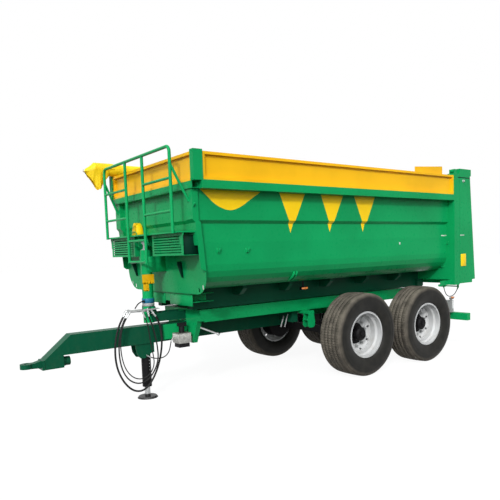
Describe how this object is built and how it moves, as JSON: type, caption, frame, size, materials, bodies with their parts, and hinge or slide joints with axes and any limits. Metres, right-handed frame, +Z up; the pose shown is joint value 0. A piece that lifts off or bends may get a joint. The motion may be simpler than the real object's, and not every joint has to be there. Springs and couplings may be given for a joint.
{
  "type": "two-axle farm tipping trailer",
  "caption": "Rear-tipping farm trailer with a half-round tub, swinging deep tailgate, telescopic ram, front platform, tandem wheels and a parking jack.",
  "frame": {"origin": "on the floor, midway between the front tip of the towing eye and the rear of the tailgate, on the centreline", "axes": "+X forward to the towing eye, +Y to the trailer's left, +Z up"},
  "size_m": [6.402, 2.26, 2.83],
  "materials": {
    "green_paint": "gloss agricultural paint",
    "dark_green_paint": "satin paint on the chassis",
    "yellow_paint": "gloss paint",
    "wheel_white": "gloss silver-white rim paint",
    "black_paint": "satin black paint",
    "grey_steel": "zinc-plated steel",
    "polished_rod": "hard chrome",
    "cast_grey": "cast light alloy",
    "spring_steel": "dark spring steel",
    "tyre_rubber": "black tyre rubber",
    "hose_rubber": "black hose",
    "tarp_fabric": "coated yellow tarpaulin",
    "lamp_plastic": "lamp lenses in a black case"
  },
  "bodies": {
    "chassis": {"chassis_frame": "green_paint", "drawbar": "dark_green_paint", "drawbar_gussets": "dark_green_paint", "tow_eye": "green_paint", "jack_tube": "black_paint", "rear_bumper": "green_paint", "light_units": "lamp_plastic", "leaf_springs": "spring_steel", "spring_hangers": "green_paint", "axle_front": "black_paint", "axle_rear": "black_paint", "ram_cradle": "dark_green_paint", "hose_holder": "grey_steel", "brake_valve": "cast_grey", "hose_outer": "hose_rubber", "hose_inner": "hose_rubber", "hose_cable": "hose_rubber", "jack_hose": "hose_rubber"},
    "jack": {"jack_foot": "black_paint"},
    "wheel_front_left": {"tyre_front_left": "tyre_rubber", "rim_front_left": "wheel_white", "hub_front_left": "black_paint"},
    "wheel_front_right": {"tyre_front_right": "tyre_rubber", "rim_front_right": "wheel_white", "hub_front_right": "black_paint"},
    "wheel_rear_left": {"tyre_rear_left": "tyre_rubber", "rim_rear_left": "wheel_white", "hub_rear_left": "black_paint"},
    "wheel_rear_right": {"tyre_rear_right": "tyre_rubber", "rim_rear_right": "wheel_white", "hub_rear_right": "black_paint"},
    "tub": {"tub_shell": "green_paint", "front_wall": "green_paint", "tub_beams": "green_paint", "cross_bearers": "green_paint", "front_skirt": "green_paint", "side_markers": "lamp_plastic", "gate_locks": "grey_steel", "lock_hose": "hose_rubber", "rear_frame": "green_paint", "top_rails": "green_paint", "side_boards": "yellow_paint", "front_board": "yellow_paint", "platform": "green_paint", "railing": "green_paint", "handrail_bends": "green_paint", "ladder": "green_paint", "railing_bars": "green_paint", "railing_stays": "green_paint", "tarp_roll": "tarp_fabric", "tarp_stop": "yellow_paint"},
    "tailgate": {"tailgate": "green_paint"},
    "ram_tube": {"ram_tube": "green_paint"},
    "ram_stage_1": {"ram_stage_1": "polished_rod"},
    "ram_stage_2": {"ram_stage_2": "polished_rod"},
    "ram_stage_3": {"ram_stage_3": "polished_rod"},
    "ram_stage_4": {"ram_stage_4": "polished_rod"},
    "ram_stage_5": {"ram_stage_5": "polished_rod"}
  },
  "joints": [
    {"name": "wheel_front_left_spin", "type": "hinge", "parent": "chassis", "child": "wheel_front_left", "pos_m": [-0.716, 0, 0.536], "axis": [0, 1, 0], "continuous": true},
    {"name": "wheel_front_right_spin", "type": "hinge", "parent": "chassis", "child": "wheel_front_right", "pos_m": [-0.716, 0, 0.536], "axis": [0, 1, 0], "continuous": true},
    {"name": "wheel_rear_left_spin", "type": "hinge", "parent": "chassis", "child": "wheel_rear_left", "pos_m": [-1.986, 0, 0.536], "axis": [0, 1, 0], "continuous": true},
    {"name": "wheel_rear_right_spin", "type": "hinge", "parent": "chassis", "child": "wheel_rear_right", "pos_m": [-1.986, 0, 0.536], "axis": [0, 1, 0], "continuous": true},
    {"name": "jack_slide", "type": "slide", "parent": "chassis", "child": "jack", "axis": [0, 0, 1], "range_m": [0, 0.105]},
    {"name": "tub_tip", "type": "hinge", "parent": "chassis", "child": "tub", "pos_m": [-2.651, 0, 0.93], "axis": [0, -1, 0], "range_deg": [0, 43]},
    {"name": "tailgate_swing", "type": "hinge", "parent": "tub", "child": "tailgate", "pos_m": [-2.701, 0, 2.725], "axis": [0, 1, 0], "range_deg": [0, 85]},
    {"name": "ram_tilt", "type": "hinge", "parent": "chassis", "child": "ram_tube", "pos_m": [1.774, 0, 1.03], "axis": [0, -1, 0], "range_deg": [0, 26.64]},
    {"name": "ram_slide_1", "type": "slide", "parent": "ram_tube", "child": "ram_stage_1", "axis": [0, 0, 1], "range_m": [0, 0.6423]},
    {"name": "ram_slide_2", "type": "slide", "parent": "ram_stage_1", "child": "ram_stage_2", "axis": [0, 0, 1], "range_m": [0, 0.6423]},
    {"name": "ram_slide_3", "type": "slide", "parent": "ram_stage_2", "child": "ram_stage_3", "axis": [0, 0, 1], "range_m": [0, 0.6423]},
    {"name": "ram_slide_4", "type": "slide", "parent": "ram_stage_3", "child": "ram_stage_4", "axis": [0, 0, 1], "range_m": [0, 0.6423]},
    {"name": "ram_slide_5", "type": "slide", "parent": "ram_stage_4", "child": "ram_stage_5", "axis": [0, 0, 1], "range_m": [0, 0.6423]}
  ],
  "couplings": [
    {"joint": "ram_tilt", "follows": "tub_tip", "ratio": 0.61835},
    {"joint": "ram_slide_1", "follows": "tub_tip", "m_per_rad": 0.85445},
    {"joint": "ram_slide_2", "follows": "tub_tip", "m_per_rad": 0.85445},
    {"joint": "ram_slide_3", "follows": "tub_tip", "m_per_rad": 0.85445},
    {"joint": "ram_slide_4", "follows": "tub_tip", "m_per_rad": 0.85445},
    {"joint": "ram_slide_5", "follows": "tub_tip", "m_per_rad": 0.85445}
  ]
}
